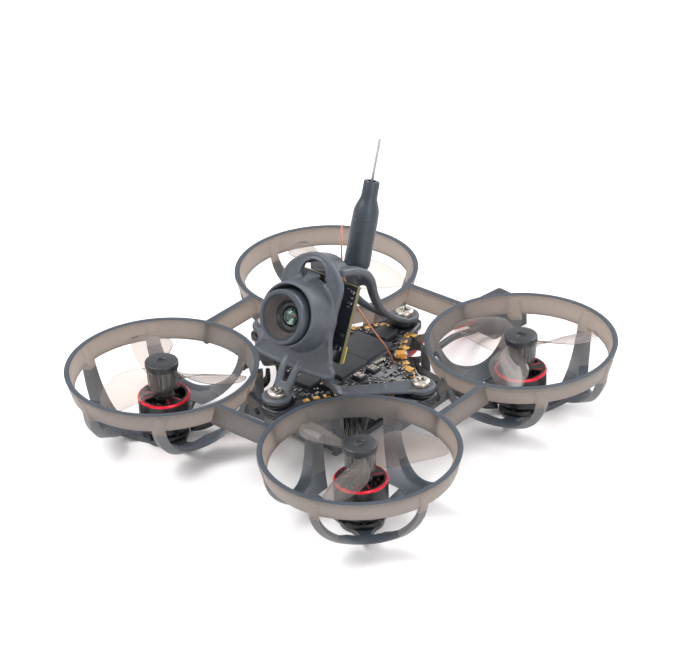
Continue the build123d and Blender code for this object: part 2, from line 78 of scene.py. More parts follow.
# ---------------------------------------------------------------- materials
def material(name, colour, rough, metal=0.0, vary=0.12, grain=900.0, bump=0.0, bump_grain=2500.0,
             rough_vary=0.08, **sockets):
    """A principled surface whose colour and roughness vary over it, and with bump its height too."""
    made = bpy.data.materials.new(name)
    made.use_nodes = True
    tree = made.node_tree
    shader = tree.nodes["Principled BSDF"]
    place = tree.nodes.new("ShaderNodeTexCoord")
    noise = tree.nodes.new("ShaderNodeTexNoise")
    noise.inputs["Scale"].default_value = grain
    noise.inputs["Detail"].default_value = 4.0
    tree.links.new(place.outputs["Object"], noise.inputs["Vector"])
    ramp = tree.nodes.new("ShaderNodeValToRGB")
    ramp.color_ramp.elements[0].position = 0.3
    ramp.color_ramp.elements[1].position = 0.7
    ramp.color_ramp.elements[0].color = [c * (1 - vary) for c in colour[:3]] + [1]
    ramp.color_ramp.elements[1].color = [min(1, c * (1 + vary)) for c in colour[:3]] + [1]
    tree.links.new(noise.outputs["Fac"], ramp.inputs["Fac"])
    tree.links.new(ramp.outputs["Color"], shader.inputs["Base Color"])
    spread = tree.nodes.new("ShaderNodeMapRange")
    spread.inputs["To Min"].default_value = max(0.01, rough - rough_vary)
    spread.inputs["To Max"].default_value = min(1.0, rough + rough_vary)
    tree.links.new(noise.outputs["Fac"], spread.inputs["Value"])
    tree.links.new(spread.outputs["Result"], shader.inputs["Roughness"])
    shader.inputs["Metallic"].default_value = metal
    for socket, value in sockets.items():
        shader.inputs[socket.replace("_", " ")].default_value = value
    if bump:
        fine = tree.nodes.new("ShaderNodeTexNoise")
        fine.inputs["Scale"].default_value = bump_grain
        fine.inputs["Detail"].default_value = 3.0
        tree.links.new(place.outputs["Object"], fine.inputs["Vector"])
        relief = tree.nodes.new("ShaderNodeBump")
        relief.inputs["Strength"].default_value = 1.0
        relief.inputs["Distance"].default_value = bump * MM
        tree.links.new(fine.outputs["Fac"], relief.inputs["Height"])
        tree.links.new(relief.outputs["Normal"], shader.inputs["Normal"])
    return made


M = {
    "frame": material("smoky_moulding", (0.160, 0.168, 0.178), 0.38, vary=0.06, grain=260, bump=0.005,
                      bump_grain=1400, Transmission_Weight=0.45, IOR=1.46, Specular_IOR_Level=0.5,
                      Specular_Tint=(0.80, 0.90, 1.0, 1.0)),
    # painted shade: a darker copy of the frame plastic, with less light through it, for the parts far below
    # the rims
    "leg": material("low_frame_painted_shade", (0.100, 0.108, 0.120), 0.38, vary=0.06, grain=260, bump=0.005,
                    bump_grain=1400),
    # painted shade: a darker, bluer copy of the frame plastic for its top and bottom faces, where clear
    # plastic looks dark
    "rim": material("frame_edge_painted_shade", (0.036, 0.046, 0.060), 0.42, vary=0.10, grain=500, bump=0.006,
                    bump_grain=1600, Specular_IOR_Level=0.5),
    "canopy": material("printed_shell", (0.058, 0.067, 0.082), 0.46, vary=0.12, grain=1100, bump=0.010,
                       bump_grain=5200, Specular_IOR_Level=0.5, Coat_Weight=0.15, Coat_Roughness=0.4),
    "blade": material("clear_blade", (0.22, 0.21, 0.205), 0.06, vary=0.05, grain=220, rough_vary=0.03,
                      Coat_Weight=1.0, Coat_IOR=1.5, Coat_Roughness=0.03),
    # painted shade: an opaque dark colour on the blades' thin edge faces, where clear plastic looks dark
    "blade_edge_painted_shade": material("blade_edge_painted_shade", (0.085, 0.080, 0.080), 0.2, vary=0.08),
    "hub": material("dark_hub", (0.020, 0.022, 0.026), 0.34, vary=0.2, grain=900, bump=0.008,
                    bump_grain=3000),
    "hub_side": material("smoky_hub", (0.085, 0.080, 0.078), 0.16, vary=0.1, rough_vary=0.05,
                         Specular_IOR_Level=0.8, Transmission_Weight=0.35),
    "bell": material("black_anodised", (0.012, 0.012, 0.014), 0.34, metal=0.25, vary=0.2, grain=1800,
                     bump=0.004, bump_grain=7000),
    "red": material("red_anodised", (0.78, 0.018, 0.045), 0.26, metal=0.45, vary=0.12, grain=1500),
    "base": material("black_mount", (0.02, 0.02, 0.022), 0.4, metal=0.3, vary=0.2),
    "core": material("core_lacquer", (0.03, 0.035, 0.04), 0.45, vary=0.2),
    "copper": material("enamelled_copper", (0.10, 0.045, 0.022), 0.36, metal=0.6, vary=0.2, grain=2400),
    "aerial": material("bare_copper", (0.58, 0.24, 0.14), 0.30, metal=0.7, vary=0.14, grain=2400),
    "steel": material("plain_steel", (0.55, 0.55, 0.57), 0.3, metal=1.0, vary=0.08, grain=1600),
    "nickel": material("warm_nickel", (0.68, 0.62, 0.55), 0.22, metal=1.0, vary=0.12, grain=1500, bump=0.004),
    "board": material("solder_mask", (0.014, 0.017, 0.024), 0.32, vary=0.35, grain=1300, bump=0.008,
                      bump_grain=2600),
    "chip": material("epoxy_package", (0.030, 0.033, 0.039), 0.46, vary=0.12, grain=2600, bump=0.004,
                     bump_grain=6500),
    "capacitor": material("tan_case", (0.62, 0.29, 0.055), 0.42, vary=0.15, grain=1700),
    "grommet": material("soft_rubber", (0.010, 0.012, 0.015), 0.28, vary=0.2, bump=0.006),
    "lens": material("black_barrel", (0.014, 0.016, 0.020), 0.40, vary=0.2, grain=1500, bump=0.005,
                     bump_grain=5000),
    "bezel": material("barrel_bezel", (0.042, 0.052, 0.066), 0.36, vary=0.12, grain=1500, bump=0.003,
                      bump_grain=5000),
    "cone": material("baffle", (0.085, 0.075, 0.072), 0.30, vary=0.12, grain=700, Specular_IOR_Level=0.6),
    "glass": material("coated_glass", (0.92, 0.97, 0.94), 0.02, vary=0.02, rough_vary=0.005,
                      Specular_IOR_Level=1.0, Transmission_Weight=1.0, IOR=1.52),
    "iris": material("green_coating", (0.045, 0.125, 0.095), 0.12, metal=0.5, vary=0.25, grain=1800),
    "plug": material("black_housing", (0.02, 0.021, 0.028), 0.38, vary=0.15, bump=0.006),
    "gold": material("gold_plate", (0.80, 0.46, 0.13), 0.30, metal=0.85, vary=0.16, grain=2200),
    "sleeve": material("shrunk_sleeve", (0.017, 0.026, 0.038), 0.44, vary=0.22, grain=480, bump=0.014,
                       bump_grain=900, Specular_IOR_Level=0.55),
    "scuff": material("light_scuff", (0.13, 0.15, 0.17), 0.5, vary=0.2, grain=2500),
    "whip": material("whip_grey", (0.30, 0.30, 0.31), 0.45, vary=0.1),
    "wire_red": material("red_silicone", (0.70, 0.016, 0.03), 0.40, vary=0.1),
    "wire_black": material("black_silicone", (0.014, 0.014, 0.015), 0.42, vary=0.15),
    "tan": material("ceramic_body", (0.30, 0.20, 0.12), 0.45, vary=0.25, grain=3000),
    "solder": material("solder_ends", (0.74, 0.75, 0.77), 0.22, metal=0.95, vary=0.12, grain=3000),
    "edge": material("glass_core_edge", (0.150, 0.130, 0.062), 0.45, vary=0.2, grain=2500, bump=0.008,
                     bump_grain=6000),
    "tape": material("yellow_tape", (0.62, 0.52, 0.04), 0.45, vary=0.12, grain=1400),
    "white": material("white_floor", (0.93, 0.915, 0.92), 0.75, vary=0.004, grain=3),
}


def mix(tree, first, second):
    """Send a mix of two shader nodes to the surface, and return the node that mixes them."""
    both = tree.nodes.new("ShaderNodeMixShader")
    tree.links.new(first.outputs["BSDF"], both.inputs[1])
    tree.links.new(second.outputs["BSDF"], both.inputs[2])
    tree.links.new(both.outputs["Shader"], tree.nodes["Material Output"].inputs["Surface"])
    return both


def glow(made, colour, share):
    """Let part of the light from behind come through a thin wall."""
    tree = made.node_tree
    through_wall = tree.nodes.new("ShaderNodeBsdfTranslucent")
    through_wall.inputs["Color"].default_value = (*colour, 1)
    both = mix(tree, tree.nodes["Principled BSDF"], through_wall)
    both.inputs["Fac"].default_value = share


def clear(made, tint, share):
    """Let light straight through a thin clear sheet, less of it where the sheet turns away."""
    tree = made.node_tree
    open_part = tree.nodes.new("ShaderNodeBsdfTransparent")
    open_part.inputs["Color"].default_value = (*tint, 1)
    rim_gain = tree.nodes.new("ShaderNodeLayerWeight")
    rim_gain.inputs["Blend"].default_value = share
    both = mix(tree, open_part, tree.nodes["Principled BSDF"])
    tree.links.new(rim_gain.outputs["Facing"], both.inputs["Fac"])


clear(M["blade"], (0.93, 0.885, 0.855), 0.22)
glow(M["frame"], (0.86, 0.75, 0.66), 0.46)
# the low parts of the frame let less light through than the rest: part of their painted shade
glow(M["leg"], (0.64, 0.60, 0.56), 0.26)

SLOT_OF = {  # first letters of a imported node's name, and its material
    "duct": "frame", "frame": "frame", "motor_base": "base", "stator": "core", "motor_coils": "copper",
    # the magnets take the bell's black instead of their own metal: painted shade for the dark inside of the
    # bell
    "motor_bell": "bell", "motor_magnets": "bell", "motor_shaft": "steel", "propeller": "blade",
    "motor_leads": "wire_black", "motor_bearings": "steel", "motor_screws": "steel", "flight": "board",
    "board_chips": "chip", "motor_drivers": "chip", "filter": "capacitor", "board_grommets": "grommet",
    "board_screws": "nickel", "camera_board": "board", "image": "chip", "lens_holder": "lens",
    "lens_barrel": "lens", "front_lens": "glass", "camera_plug": "plug", "canopy": "canopy",
    "antenna_sleeve": "sleeve", "antenna_coax": "wire_black", "antenna_whip": "whip",
    "receiver": "aerial", "battery_plug": "plug", "battery_plug_pins": "gold",
    "battery_lead_red": "wire_red", "battery_lead_black": "wire_black",
}


def dress(name, bevel=0.0):
    """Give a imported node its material, smooth shading and softened edges."""
    key = max((k for k in SLOT_OF if name.startswith(k)), key=len)
    node = nodes[name]
    node.data.materials.clear()
    node.data.materials.append(M[SLOT_OF[key]])
    if "custom_normal" in node.data.attributes:
        node.data.attributes.remove(node.data.attributes["custom_normal"])
    for face in node.data.polygons:
        face.use_smooth = True
    weld = node.modifiers.new("weld", "WELD")
    weld.merge_threshold = 1e-6
    if bevel:
        soft = node.modifiers.new("soft", "BEVEL")
        soft.width = bevel * MM
        soft.segments = 2
        soft.limit_method = "ANGLE"
        soft.angle_limit = math.radians(38)
        soft.harden_normals = False
    node.data.set_sharp_from_angle(angle=math.radians(32))
    if SLOT_OF[key] == "frame":
        node.data.materials.append(M["rim"])
        node.data.materials.append(M["leg"])
        for face in node.data.polygons:
            height = face.center.z / MM - DECK
            if abs(face.normal.z) > 0.8 and not -1.2 < height < -0.25:
                face.material_index = 1  # faces that look up or down, but for the step under the rim, take a darker copy of the frame plastic: painted shade for the dark edges of clear plastic
            elif height < -4.6:
                face.material_index = 2  # what is far below the rims: legs, spokes, motor plates and cage, in a darker copy of the frame plastic that lets less light through: painted shade under the ducts


BEVELS = {"duct": 0.12, "frame": 0.12, "canopy": 0.15, "board_chips": 0.06, "camera_board": 0.05,
          "battery_plug": 0.25, "motor_bell": 0.06, "lens_barrel": 0.08, "lens_holder": 0.1}
for name in nodes:
    dress(name, next((w for k, w in BEVELS.items() if name.startswith(k)), 0.0))


# ---------------------------------------------------------------- making pieces
def finish_mesh(name, bm, body, mats, smooth=True):
    """Turn a bmesh in millimetres into a piece that rides on a body."""
    bmesh.ops.recalc_face_normals(bm, faces=bm.faces)
    bmesh.ops.scale(bm, vec=(MM, MM, MM), verts=bm.verts)
    mesh = bpy.data.meshes.new(name)
    bm.to_mesh(mesh)
    bm.free()
    for m in mats:
        mesh.materials.append(M[m])
    if smooth:
        for face in mesh.polygons:
            face.use_smooth = True
        mesh.set_sharp_from_angle(angle=math.radians(35))
    piece = bpy.data.objects.new(name, mesh)
    scene.collection.objects.link(piece)
    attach(piece, body)
    return piece


def lathe(bm, profile, place=Matrix.Identity(4), steps=64, mat=0, ribs=None):
    """Turn (radius, height) points about Z; ribs is (count, depth) for a fluted side."""
    rings = []
    for r, z in profile:
        if r < 1e-6:
            rings.append([bm.verts.new(place @ Vector((0, 0, z)))])
            continue
        ring = []
        for k in range(steps):
            a = 2 * math.pi * k / steps
            rr = r
            if ribs:
                rr = r - ribs[1] * (0.5 - 0.5 * math.cos(ribs[0] * a))
            ring.append(bm.verts.new(place @ Vector((rr * math.cos(a), rr * math.sin(a), z))))
        rings.append(ring)
    for low, high in zip(rings, rings[1:]):
        for k in range(steps):
            n = (k + 1) % steps
            if len(low) == 1 and len(high) == 1:
                continue
            if len(low) == 1:
                f = bm.faces.new((low[0], high[n], high[k]))
            elif len(high) == 1:
                f = bm.faces.new((low[k], low[n], high[0]))
            else:
                f = bm.faces.new((low[k], low[n], high[n], high[k]))
            f.material_index = mat
    return rings


def cuboid(bm, centre, size, place=Matrix.Identity(4), soft=0.0, mat=0):
    """A small box; soft is the width of its bevelled edges."""
    made = bmesh.ops.create_cube(bm, size=1.0)
    shape = place @ Matrix.Translation(centre) @ Matrix.Diagonal((*size, 1))
    bmesh.ops.transform(bm, matrix=shape, verts=made["verts"])
    for f in {f for v in made["verts"] for f in v.link_faces}:
        f.material_index = mat
    if soft:
        edges = {e for v in made["verts"] for e in v.link_edges}
        bmesh.ops.bevel(bm, geom=list(edges), offset=soft, segments=2, affect="EDGES", profile=0.5,
                        material=mat)


def wire(name, points, radius, body, mat, nodes_replaced):
    """A round wire on one smooth curve that the points of its route guide."""
    curve = bpy.data.curves.new(name, "CURVE")
    curve.dimensions = "3D"
    spline = curve.splines.new("NURBS")
    spline.points.add(len(points) - 1)
    for point, (x, y, z) in zip(spline.points, points):
        point.co = (x * MM, y * MM, z * MM, 1)
    spline.order_u = 3
    spline.use_endpoint_u = True
    spline.resolution_u = 12
    curve.bevel_depth = radius * MM
    curve.bevel_resolution = 5
    curve.use_fill_caps = True
    curve.materials.append(M[mat])
    piece = bpy.data.objects.new(name, curve)
    scene.collection.objects.link(piece)
    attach(piece, body)
    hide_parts(*nodes_replaced)
    return piece


# ---------------------------------------------------------------- canopy
LEAN = math.radians(24)
LENS_WAY = Vector((0, -math.cos(LEAN), math.sin(LEAN)))
ACROSS = Vector((1, 0, 0))


def seen(x, s, t):
    """Camera coordinates (across, along the lens, up the picture) as the drone's."""
    return Vector((x, -5.75 + math.sin(LEAN) * t, DECK + 10.5 + math.cos(LEAN) * t)) + s * LENS_WAY


def between(a, b, c, d, u):
    """A value on the smooth curve from b to c, which a and d lead into and out of."""
    return 0.5 * (2 * b + (c - a) * u + (2 * a - 5 * b + 4 * c - d) * u**2
                  + (3 * b - a - 3 * c + d) * u**3)


def through(points, per=6):
    """Points of a smooth curve through a route."""
    pts = [Vector(p) for p in points]
    pts = [2 * pts[0] - pts[1]] + pts + [2 * pts[-1] - pts[-2]]
    out = []
    for a, b, c, d in zip(pts, pts[1:], pts[2:], pts[3:]):
        out += [between(a, b, c, d, k / per) for k in range(per)]
    return out + [pts[-2]]


def strap(bm, points, across, sizes, per=6, sides=16, power=0.5):
    """A rounded strap along a route; sizes are its (width, thickness) at each point."""
    sizes = sizes if isinstance(sizes, list) else [sizes] * len(points)
    across = across if isinstance(across, list) else [across] * len(points)
    sizes = through([(w, t, 0) for w, t in sizes], per)
    across = through(across, per)
    route = through(points, per)
    rings = []
    for i, here in enumerate(route):
        along = (route[min(i + 1, len(route) - 1)] - route[max(i - 1, 0)]).normalized()
        side = (across[i] - across[i].dot(along) * along).normalized()
        face = along.cross(side)
        ring = []
        for k in range(sides):
            a = 2 * math.pi * (k + 0.5) / sides
            w = math.copysign(abs(math.cos(a)) ** power, math.cos(a)) * sizes[i].x / 2
            t = math.copysign(abs(math.sin(a)) ** power, math.sin(a)) * sizes[i].y / 2
            ring.append(bm.verts.new(here + side * w + face * t))
        rings.append(ring)
    bm.faces.new(rings[0][::-1])
    bm.faces.new(rings[-1])
    for low, high in zip(rings, rings[1:]):
        for k in range(sides):
            n = (k + 1) % sides
            bm.faces.new((low[k], low[n], high[n], high[k]))


def mirrored(points):
    """The same outline points on the other side, in reverse order."""
    return [(-x, t) for x, t in reversed(points)]


UPPER = [(6.5, 4.6), (6.5, 6.4), (5.8, 8.0), (4.4, 9.4), (2.7, 10.6), (1.1, 11.2)]
LOWER = [(8.0, -9.6), (7.9, -7.0), (6.7, -3.0), (6.4, 1.5)]
EDGE = UPPER + [(0, 11.3)] + mirrored(UPPER)
SHELL = EDGE + mirrored(LOWER) + LOWER


def reach(angle):
    """Distance from the lens axis to the shell's outline in one direction."""
    dx, dt = math.cos(angle), math.sin(angle)
    best = 0.0
    for (x0, t0), (x1, t1) in zip(SHELL, SHELL[1:] + SHELL[:1]):
        ex, et = x1 - x0, t1 - t0
        cross = dx * et - dt * ex
        if abs(cross) < 1e-9:
            continue
        r = (x0 * et - t0 * ex) / cross
        u = (x0 * dt - t0 * dx) / cross
        if r > 0 and -1e-6 <= u <= 1 + 1e-6:
            best = max(best, r)
    return best


def window(angle):
    """Near and far edges of the arched window in one direction."""
    near = 6.75
    inside = WINDOW_R**2 - (WINDOW_T * math.cos(angle)) ** 2
    far = WINDOW_T * math.sin(angle) + math.sqrt(max(inside, 0.0))
    return near, max(near, far)


def prism(bm, a0, a1, near, far, s0, s1):
    """One slice of the face plate between two directions."""
    corners = []
    for s in (s0, s1):
        for a, r in ((a0, near[0]), (a0, far[0]), (a1, far[1]), (a1, near[1])):
            corners.append(bm.verts.new(seen(r * math.cos(a), s, r * math.sin(a))))
    for face in ((3, 2, 1, 0), (4, 5, 6, 7), (0, 1, 5, 4), (1, 2, 6, 5), (2, 3, 7, 6), (3, 0, 4, 7)):
        bm.faces.new([corners[k] for k in face])


# face plate, cut into slices round the lens axis, with its arched window
PLATE_REAR, PLATE_FRONT, PLATE_BORE = 3.6, 4.6, 5.3
bm = bmesh.new()
for k in range(120):
    a0, a1 = math.radians(3 * k), math.radians(3 * k + 3.1)
    bore = (PLATE_BORE, PLATE_BORE)
    far = (reach(a0) - 0.3, reach(a1) - 0.3)
    (near0, open0), (near1, open1) = window(a0), window(a1)
    if min(open0, open1) > 7.0 and math.sin(a0) > 0.5:
        prism(bm, a0, a1, bore, (near0, near1), PLATE_REAR, PLATE_FRONT)
        prism(bm, a0, a1, (open0, open1), far, PLATE_REAR, PLATE_FRONT)
    else:
        prism(bm, a0, a1, bore, far, PLATE_REAR, PLATE_FRONT)
# rolled edge of the plate and the hood behind its top
outline = [seen(x * 0.96, 4.1, t * 0.96) for x, t in SHELL + SHELL[:1]]
strap(bm, outline, LENS_WAY, (1.3, 0.85), per=4, power=0.8)
strap(bm, [seen(x * 0.95, 2.2, t * 0.95) for x, t in EDGE[3:-3]], LENS_WAY, (4.8, 0.9), per=4)
# lip round the window
lip = []
for k in range(13):
    a = math.radians(-4 + 188 * k / 12)
    lip.append(seen(WINDOW_R * math.cos(a), 4.65, WINDOW_T + WINDOW_R * math.sin(a)))
strap(bm, lip, LENS_WAY, (0.5, 0.42), per=3, power=0.9)
# lens tube and the peak on it
axis = Matrix((ACROSS, LENS_WAY.cross(ACROSS), LENS_WAY)).transposed().to_4x4()
axis = Matrix.Translation(seen(0, 0, 0)) @ axis
lathe(bm, [(5.2, 3.6), (6.7, 3.6), (6.75, 4.4), (6.5, 5.1), (6.3, 6.0), (6.1, 7.1), (5.95, 8.4), (5.85, 9.3),
           (5.7, 9.65), (5.45, 9.72), (5.25, 9.5), (5.15, 9.2), (5.2, 3.6)], axis, 96)
strap(bm, [seen(0, 4.2, 7.4), seen(0, 5.4, 6.9), seen(0, 7.0, 6.05)], ACROSS,
      [(3.0, 0.9), (1.8, 0.8), (0.5, 0.4)])
# front leg: two prongs down to the front screw
for side in (-1, 1):
    prong = [seen(side * 1.55, 4.1, -5.6), seen(side * 1.5, 4.1, -8.0), (side * 1.42, -14.2, DECK + 3.6),
             (side * 1.2, -15.6, DECK + 1.6), (side * 0.95, -16.7, DECK + 0.05),
             (side * 0.95, -17.6, DECK - 0.6)]
    strap(bm, prong, ACROSS, [(1.5, 1.3), (1.45, 1.2), (1.4, 1.1), (1.5, 1.1), (1.6, 1.0), (1.6, 0.9)])
strap(bm, [(0, -15.7, DECK + 1.45), (0, -16.7, DECK + 0.05), (0, -17.6, DECK - 0.6)], ACROSS,
      [(2.4, 1.0), (3.4, 1.0), (3.6, 0.9)])
# straps to the side screws, with two ribs along each
for side in (-1, 1):
    out = Vector((side, -0.25, 0))
    turn = Vector((side * 0.72, -0.69, 0))
    route = [seen(side * 6.4, 4.1, -6.5), (side * 6.7, -12.7, DECK + 3.6), (side * 7.1, -12.0, DECK + 1.5),
             (side * 7.5, -10.9, DECK + 0.2), (side * 8.5, -9.7, DECK - 0.45),
             (side * 10.7, -7.4, DECK - 0.6), (side * 13.5, -4.4, DECK - 0.62),
             (side * 16.6, -1.4, DECK - 0.62)]
    sizes = [(3.6, 1.1), (3.4, 1.0), (3.1, 0.9), (3.0, 0.85), (3.1, 0.85), (3.3, 0.85), (3.6, 0.85),
             (4.2, 0.85)]
    strap(bm, route, [out] * 3 + [turn] * 5, sizes)
    for shift in (-0.55, 0.35):
        rib = [Vector(p) + Vector((shift * 0.72 * side, -shift * 0.69, 0.42)) for p in route[4:-1]]
        strap(bm, rib, turn, (0.42, 0.55), sides=10)
# rear arms, the bar between them and the socket of the antenna
ARM = [  # place, width and thickness of each rear arm, from the hood down to the rear foot
    ((4.3, -5.0, 19.9), (2.0, 1.4)), ((4.3, -3.2, 19.4), (2.2, 1.4)), ((4.4, -0.8, 18.5), (2.1, 1.5)),
    ((4.4, 1.6, 16.9), (2.0, 1.6)), ((4.1, 3.2, 15.0), (1.9, 1.6)), ((3.8, 4.2, 13.0), (1.8, 1.5)),
    ((3.4, 5.1, 11.0), (1.7, 1.45)), ((2.8, 6.9, 8.0), (1.6, 1.4)), ((2.4, 8.2, 6.2), (1.6, 1.3)),
    ((2.1, 9.8, 4.5), (1.7, 1.2)), ((1.7, 11.5, 3.0), (1.8, 1.1)), ((1.4, 13.4, 1.5), (2.0, 1.0)),
    ((1.2, 15.3, 0.3), (2.4, 1.0)), ((1.0, 17.0, -0.55), (2.8, 0.9)),
]
for side in (-1, 1):
    strap(bm, [(side * x, y, DECK + z) for (x, y, z), _ in ARM], ACROSS, [size for _, size in ARM])
bar = [(-4.0, 3.9, DECK + 14.2), (0, 2.9, DECK + 14.0), (4.0, 3.9, DECK + 14.2)]
strap(bm, bar, Vector((0, 0, 1)), (1.8, 1.2))
mast_lean = math.radians(18.7)
UPWARD = Vector((0, math.sin(mast_lean), math.cos(mast_lean)))
mast = Matrix((ACROSS, UPWARD.cross(ACROSS), UPWARD)).transposed().to_4x4()
mast = Matrix.Translation((0, 4.7, DECK + 15.8)) @ mast
socket = [(1.5, -3.2), (2.2, -3.2), (2.3, -3.0), (2.3, -0.8), (2.2, -0.6), (1.5, -0.6), (1.5, -3.2)]
lathe(bm, socket, mast, 48)
for x, y in MOUNTS:
    foot = [(0.85, -1.1), (2.5, -1.1), (2.7, -0.95), (2.7, -0.3), (2.55, -0.1), (0.85, -0.1), (0.85, -1.1)]
    lathe(bm, foot, Matrix.Translation((x, y, DECK)), 48)
bmesh.ops.remove_doubles(bm, verts=bm.verts, dist=1e-4)
rough = finish_mesh("canopy_rough", bm, "airframe", ["canopy"], smooth=False)
fuse = rough.modifiers.new("fuse", "REMESH")
fuse.mode = "VOXEL"
fuse.voxel_size = 0.19 * MM
soften = rough.modifiers.new("soften", "SMOOTH")
soften.factor = 0.5
soften.iterations = 4
bpy.context.view_layer.update()
fused = bpy.data.meshes.new_from_object(rough.evaluated_get(bpy.context.evaluated_depsgraph_get()))
bpy.data.objects.remove(rough)
for face in fused.polygons:
    face.use_smooth = True
shell = bpy.data.objects.new("canopy_shell", fused)
scene.collection.objects.link(shell)
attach(shell, "airframe")
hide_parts("canopy")

# ---------------------------------------------------------------- battery lead
plug_place = Matrix.Translation((0.5, 45.8, 0)) @ Matrix.Rotation(math.radians(-8), 4, "Z")


def lead_end(x):
    """The last stretch of a wire, straight into the plug."""
    return [tuple(plug_place @ Vector((x, -8.6, 2.45))), tuple(plug_place @ Vector((x, -4.6, 2.45)))]


red_route = [(2.6, 8.6, DECK - 3.7), (2.3, 13.0, DECK - 6.1), (1.3, 17.8, DECK - 8.4),
             (-0.5, 23.0, DECK - 8.7), (-1.9, 28.2, DECK - 9.2), (-2.3, 33.0, DECK - 10.6)] + lead_end(-1.6)
black_route = [(5.2, 8.6, DECK - 3.7), (5.0, 13.0, DECK - 6.1), (4.5, 18.0, DECK - 8.3),
               (3.6, 23.4, DECK - 8.6), (2.6, 28.6, DECK - 9.3), (1.6, 33.2, DECK - 10.8)] + lead_end(1.6)
red_lead = wire("lead_red", red_route, 0.65, "airframe", "wire_red", ["battery_lead_red"])
black_lead = wire("lead_black", black_route, 0.65, "airframe", "wire_black",
                  ["battery_lead_black"])

# ---------------------------------------------------------------- propellers
STATIONS = [  # radius, leading edge, trailing edge, thickness, camber, the pitch line's height from the rim
    (1.9, -2.2, 2.0, 0.70, 0.10, -1.9),
    (4.0, -3.4, 2.4, 0.60, 0.25, -1.9),
    (6.5, -4.5, 2.6, 0.50, 0.45, -1.9),
    (9.0, -4.7, 2.5, 0.42, 0.50, -1.9),
    (11.5, -3.8, 2.3, 0.36, 0.40, -1.9),
    (13.4, -2.5, 2.1, 0.32, 0.25, -1.9),
    (14.6, -1.2, 1.8, 0.30, 0.12, -1.9),
    (15.1, -0.1, 1.5, 0.28, 0.05, -1.9),
]


def station(t):
    """Blade values at a place along the stations, smoothly joined."""
    i = min(int(t), len(STATIONS) - 2)
    u = t - i
    p = [STATIONS[max(0, min(len(STATIONS) - 1, i + k))] for k in (-1, 0, 1, 2)]
    return [between(a, b, c, d, u) for a, b, c, d in zip(*p)]


def blade(bm, place, sense):
    """One twisted, cambered blade, thinner at its edges, its rim in a dark material of its own: painted shade
    for the dark outline of clear plastic.
    """
    wide, along = 12, 36
    grids = []
    for side in (1, -1):
        grid = []
        for j in range(along + 1):
            r, lead, trail, thick, camber, middle = station(j / along * (len(STATIONS) - 1))
            pitch = math.atan(BLADE_PITCH / (2 * math.pi * r))
            row = []
            for i in range(wide + 1):
                t = -0.5 + i / wide
                edge = math.sqrt(max(0.0, 1 - (2 * t) ** 6))
                bow = camber * (1 - 4 * t * t) + side * 0.5 * thick * (0.25 + 0.75 * edge)
                across = lead + (t + 0.5) * (trail - lead)
                y = -sense * (across * math.cos(pitch) + bow * math.sin(pitch))
                z = DECK + middle - across * math.sin(pitch) + bow * math.cos(pitch)
                row.append(bm.verts.new(place @ Vector((r, y, z))))
            grid.append(row)
        grids.append(grid)
    for grid in grids:
        for a, b in zip(grid, grid[1:]):
            for i in range(wide):
                bm.faces.new((a[i], a[i + 1], b[i + 1], b[i]))
    top, low = grids
    rims = []
    for i in (0, wide):
        for j in range(along):
            rims.append(bm.faces.new((top[j][i], top[j + 1][i], low[j + 1][i], low[j][i])))
    for j in (0, along):
        for i in range(wide):
            rims.append(bm.faces.new((top[j][i], top[j][i + 1], low[j][i + 1], low[j][i])))
    # the edge faces take the painted dark edge colour
    for f in rims:
        f.material_index = 3


for name, (x, y, outward, sense, rest) in DUCTS.items():
    place = Matrix.Translation((x, y, 0)) @ Matrix.Rotation(math.radians(rest), 4, "Z")
    bm = bmesh.new()
    for k in range(3):
        blade(bm, place @ Matrix.Rotation(math.radians(120 * k), 4, "Z"), sense)
    top = DECK + 0.98
    lathe(bm, [(1.5, 9.05), (1.6, 9.05), (1.62, top - 5.1), (1.9, top - 5.28), (2.5, top - 5.28),
               (2.65, top - 5.1), (2.72, top - 4.0), (2.82, top - 2.2), (2.86, top - 1.25)],
          place, 96, 1, ribs=(16, 0.12))
    # top of the hub, its bore closed just above the shaft's end by a shallow dish in the hub's dark material:
    # painted shade in place of the open hole
    lathe(bm, [(2.86, top - 1.25), (3.0, top - 1.15), (3.05, top - 0.95), (3.05, top - 0.2),
               (2.97, top - 0.06), (2.85, top), (1.0, top), (0.92, top - 0.06), (0.88, top - 0.22),
               (0.62, top - 0.26), (0.45, top - 0.32), (0.0, top - 0.34)], place, 64, 2)
    piece = finish_mesh("blades_" + name, bm, "rotor_" + name,
                        ["blade", "hub_side", "hub", "blade_edge_painted_shade"])
    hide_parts("propeller_" + name)

# red anodised edge of each bell, and of the spokes in its top
for name, (x, y, outward, sense, rest) in DUCTS.items():
    place = Matrix.Translation((x, y, 0))
    bm = bmesh.new()
    lathe(bm, [(4.745, 8.60), (4.77, 8.68), (4.74, 8.82), (4.56, 9.02), (4.42, 9.03)], place, 96)
    for k in range(3):
        for side in (-1, 1):
            spin = place @ Matrix.Rotation(math.radians(outward + 120 * k + side * 17), 4, "Z")
            cuboid(bm, (3.0, 0, 8.98), (1.9, 0.16, 0.12), spin, soft=0.03)
    finish_mesh("bell_edge_" + name, bm, "rotor_" + name, ["red"])

